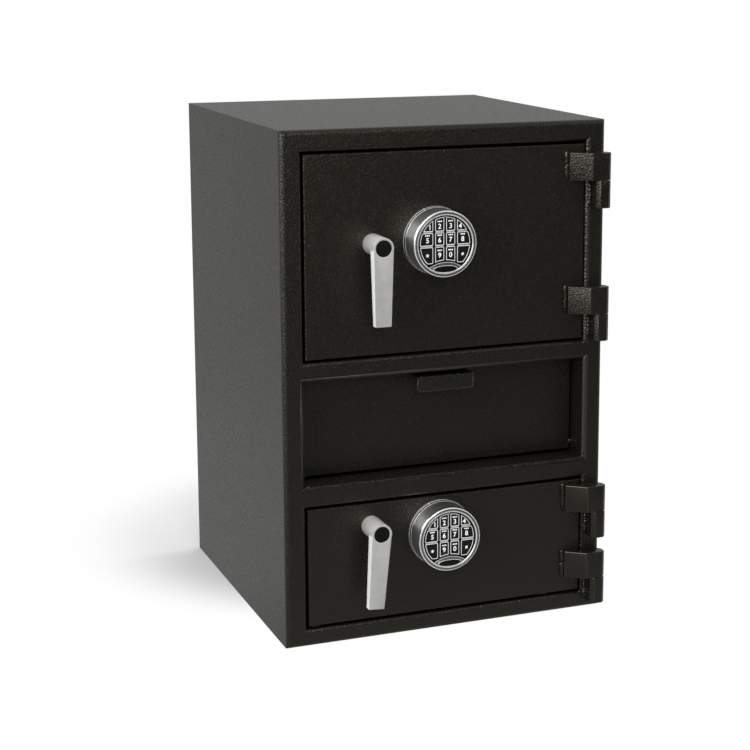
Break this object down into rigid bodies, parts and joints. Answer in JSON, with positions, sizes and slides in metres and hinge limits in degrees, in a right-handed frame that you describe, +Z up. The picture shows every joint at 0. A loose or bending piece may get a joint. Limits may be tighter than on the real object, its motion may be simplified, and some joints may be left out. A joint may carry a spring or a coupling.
{
  "type": "hopper deposit safe",
  "caption": "Steel deposit safe: hinged upper and lower doors with keypad locks, lever handles and sliding bolts, and a tilting hopper that drops deposits inside.",
  "frame": {"origin": "middle of the base, on the floor", "axes": "+Z up, the front with the doors faces -Y, the hinges are on +X"},
  "size_m": [0.508, 0.554, 0.762],
  "materials": {
    "cabinet_paint": "semi-gloss black paint with a fine orange-peel texture",
    "inner_paint": "matt dark grey primer",
    "bare_steel": "plain machined or zinc-plated steel",
    "satin_metal": "satin nickel plating",
    "keypad_chrome": "satin chrome plating",
    "black_plastic": "matt black moulded plastic",
    "key_plastic": "black keypad keys with pale numbers"
  },
  "bodies": {
    "cabinet": {"left_side": "cabinet_paint", "right_side": "cabinet_paint", "top_panel": "cabinet_paint", "base_panel": "cabinet_paint", "back_panel": "cabinet_paint", "front_frame": "cabinet_paint", "upper_shelf": "inner_paint", "hopper_floor": "inner_paint", "deposit_baffle": "inner_paint", "hinge_knuckles": "cabinet_paint", "hinge_pins": "bare_steel", "hopper_rod": "bare_steel"},
    "hopper": {"hopper_bucket": "cabinet_paint", "hopper_pull_tab": "cabinet_paint"},
    "upper_door": {"upper_door_plate": "cabinet_paint", "upper_hinge_leaves": "cabinet_paint", "upper_boltwork_housing": "inner_paint", "upper_lock_body": "bare_steel", "upper_keypad_bezel": "keypad_chrome", "upper_keypad_insert": "black_plastic"},
    "upper_handle": {"upper_handle_lever": "satin_metal", "upper_handle_cap": "black_plastic", "upper_spindle_crank": "bare_steel"},
    "upper_bolts": {"upper_bolt_carriage": "bare_steel", "upper_locking_bolts": "bare_steel"},
    "upper_key_1": {"upper_key_1": "key_plastic"},
    "upper_key_2": {"upper_key_2": "key_plastic"},
    "upper_key_3": {"upper_key_3": "key_plastic"},
    "upper_key_4": {"upper_key_4": "key_plastic"},
    "upper_key_5": {"upper_key_5": "key_plastic"},
    "upper_key_6": {"upper_key_6": "key_plastic"},
    "upper_key_7": {"upper_key_7": "key_plastic"},
    "upper_key_8": {"upper_key_8": "key_plastic"},
    "upper_key_star": {"upper_key_star": "key_plastic"},
    "upper_key_9": {"upper_key_9": "key_plastic"},
    "upper_key_0": {"upper_key_0": "key_plastic"},
    "upper_key_hash": {"upper_key_hash": "key_plastic"},
    "lower_door": {"lower_door_plate": "cabinet_paint", "lower_hinge_leaves": "cabinet_paint", "lower_boltwork_housing": "inner_paint", "lower_lock_body": "bare_steel", "lower_keypad_bezel": "keypad_chrome", "lower_keypad_insert": "black_plastic"},
    "lower_handle": {"lower_handle_lever": "satin_metal", "lower_handle_cap": "black_plastic", "lower_spindle_crank": "bare_steel"},
    "lower_bolts": {"lower_bolt_carriage": "bare_steel", "lower_locking_bolts": "bare_steel"},
    "lower_key_1": {"lower_key_1": "key_plastic"},
    "lower_key_2": {"lower_key_2": "key_plastic"},
    "lower_key_3": {"lower_key_3": "key_plastic"},
    "lower_key_4": {"lower_key_4": "key_plastic"},
    "lower_key_5": {"lower_key_5": "key_plastic"},
    "lower_key_6": {"lower_key_6": "key_plastic"},
    "lower_key_7": {"lower_key_7": "key_plastic"},
    "lower_key_8": {"lower_key_8": "key_plastic"},
    "lower_key_star": {"lower_key_star": "key_plastic"},
    "lower_key_9": {"lower_key_9": "key_plastic"},
    "lower_key_0": {"lower_key_0": "key_plastic"},
    "lower_key_hash": {"lower_key_hash": "key_plastic"}
  },
  "joints": [
    {"name": "hopper_tilt", "type": "hinge", "parent": "cabinet", "child": "hopper", "pos_m": [0, -0.2, 0.256], "axis": [1, 0, 0], "range_deg": [0, 42]},
    {"name": "upper_door_swing", "type": "hinge", "parent": "cabinet", "child": "upper_door", "pos_m": [0.24225, -0.268, 0.673], "axis": [0, 0, 1], "range_deg": [0, 120]},
    {"name": "upper_handle_turn", "type": "hinge", "parent": "upper_door", "child": "upper_handle", "pos_m": [-0.1165, -0.254, 0.595], "axis": [0, 1, 0], "range_deg": [0, 60]},
    {"name": "upper_bolts_slide", "type": "slide", "parent": "upper_door", "child": "upper_bolts", "axis": [-1, 0, 0], "range_m": [0, 0.024]},
    {"name": "upper_key_1_press", "type": "slide", "parent": "upper_door", "child": "upper_key_1", "axis": [0, 1, 0], "range_m": [0, 0.001], "stiffness_N_per_m": 600},
    {"name": "upper_key_2_press", "type": "slide", "parent": "upper_door", "child": "upper_key_2", "axis": [0, 1, 0], "range_m": [0, 0.001], "stiffness_N_per_m": 600},
    {"name": "upper_key_3_press", "type": "slide", "parent": "upper_door", "child": "upper_key_3", "axis": [0, 1, 0], "range_m": [0, 0.001], "stiffness_N_per_m": 600},
    {"name": "upper_key_4_press", "type": "slide", "parent": "upper_door", "child": "upper_key_4", "axis": [0, 1, 0], "range_m": [0, 0.001], "stiffness_N_per_m": 600},
    {"name": "upper_key_5_press", "type": "slide", "parent": "upper_door", "child": "upper_key_5", "axis": [0, 1, 0], "range_m": [0, 0.001], "stiffness_N_per_m": 600},
    {"name": "upper_key_6_press", "type": "slide", "parent": "upper_door", "child": "upper_key_6", "axis": [0, 1, 0], "range_m": [0, 0.001], "stiffness_N_per_m": 600},
    {"name": "upper_key_7_press", "type": "slide", "parent": "upper_door", "child": "upper_key_7", "axis": [0, 1, 0], "range_m": [0, 0.001], "stiffness_N_per_m": 600},
    {"name": "upper_key_8_press", "type": "slide", "parent": "upper_door", "child": "upper_key_8", "axis": [0, 1, 0], "range_m": [0, 0.001], "stiffness_N_per_m": 600},
    {"name": "upper_key_star_press", "type": "slide", "parent": "upper_door", "child": "upper_key_star", "axis": [0, 1, 0], "range_m": [0, 0.001], "stiffness_N_per_m": 600},
    {"name": "upper_key_9_press", "type": "slide", "parent": "upper_door", "child": "upper_key_9", "axis": [0, 1, 0], "range_m": [0, 0.001], "stiffness_N_per_m": 600},
    {"name": "upper_key_0_press", "type": "slide", "parent": "upper_door", "child": "upper_key_0", "axis": [0, 1, 0], "range_m": [0, 0.001], "stiffness_N_per_m": 600},
    {"name": "upper_key_hash_press", "type": "slide", "parent": "upper_door", "child": "upper_key_hash", "axis": [0, 1, 0], "range_m": [0, 0.001], "stiffness_N_per_m": 600},
    {"name": "lower_door_swing", "type": "hinge", "parent": "cabinet", "child": "lower_door", "pos_m": [0.24225, -0.268, 0.16], "axis": [0, 0, 1], "range_deg": [0, 120]},
    {"name": "lower_handle_turn", "type": "hinge", "parent": "lower_door", "child": "lower_handle", "pos_m": [-0.1215, -0.254, 0.174], "axis": [0, 1, 0], "range_deg": [0, 60]},
    {"name": "lower_bolts_slide", "type": "slide", "parent": "lower_door", "child": "lower_bolts", "axis": [-1, 0, 0], "range_m": [0, 0.024]},
    {"name": "lower_key_1_press", "type": "slide", "parent": "lower_door", "child": "lower_key_1", "axis": [0, 1, 0], "range_m": [0, 0.001], "stiffness_N_per_m": 600},
    {"name": "lower_key_2_press", "type": "slide", "parent": "lower_door", "child": "lower_key_2", "axis": [0, 1, 0], "range_m": [0, 0.001], "stiffness_N_per_m": 600},
    {"name": "lower_key_3_press", "type": "slide", "parent": "lower_door", "child": "lower_key_3", "axis": [0, 1, 0], "range_m": [0, 0.001], "stiffness_N_per_m": 600},
    {"name": "lower_key_4_press", "type": "slide", "parent": "lower_door", "child": "lower_key_4", "axis": [0, 1, 0], "range_m": [0, 0.001], "stiffness_N_per_m": 600},
    {"name": "lower_key_5_press", "type": "slide", "parent": "lower_door", "child": "lower_key_5", "axis": [0, 1, 0], "range_m": [0, 0.001], "stiffness_N_per_m": 600},
    {"name": "lower_key_6_press", "type": "slide", "parent": "lower_door", "child": "lower_key_6", "axis": [0, 1, 0], "range_m": [0, 0.001], "stiffness_N_per_m": 600},
    {"name": "lower_key_7_press", "type": "slide", "parent": "lower_door", "child": "lower_key_7", "axis": [0, 1, 0], "range_m": [0, 0.001], "stiffness_N_per_m": 600},
    {"name": "lower_key_8_press", "type": "slide", "parent": "lower_door", "child": "lower_key_8", "axis": [0, 1, 0], "range_m": [0, 0.001], "stiffness_N_per_m": 600},
    {"name": "lower_key_star_press", "type": "slide", "parent": "lower_door", "child": "lower_key_star", "axis": [0, 1, 0], "range_m": [0, 0.001], "stiffness_N_per_m": 600},
    {"name": "lower_key_9_press", "type": "slide", "parent": "lower_door", "child": "lower_key_9", "axis": [0, 1, 0], "range_m": [0, 0.001], "stiffness_N_per_m": 600},
    {"name": "lower_key_0_press", "type": "slide", "parent": "lower_door", "child": "lower_key_0", "axis": [0, 1, 0], "range_m": [0, 0.001], "stiffness_N_per_m": 600},
    {"name": "lower_key_hash_press", "type": "slide", "parent": "lower_door", "child": "lower_key_hash", "axis": [0, 1, 0], "range_m": [0, 0.001], "stiffness_N_per_m": 600}
  ],
  "couplings": [
    {"joint": "upper_bolts_slide", "follows": "upper_handle_turn", "m_per_rad": 0.022918},
    {"joint": "lower_bolts_slide", "follows": "lower_handle_turn", "m_per_rad": 0.022918}
  ]
}
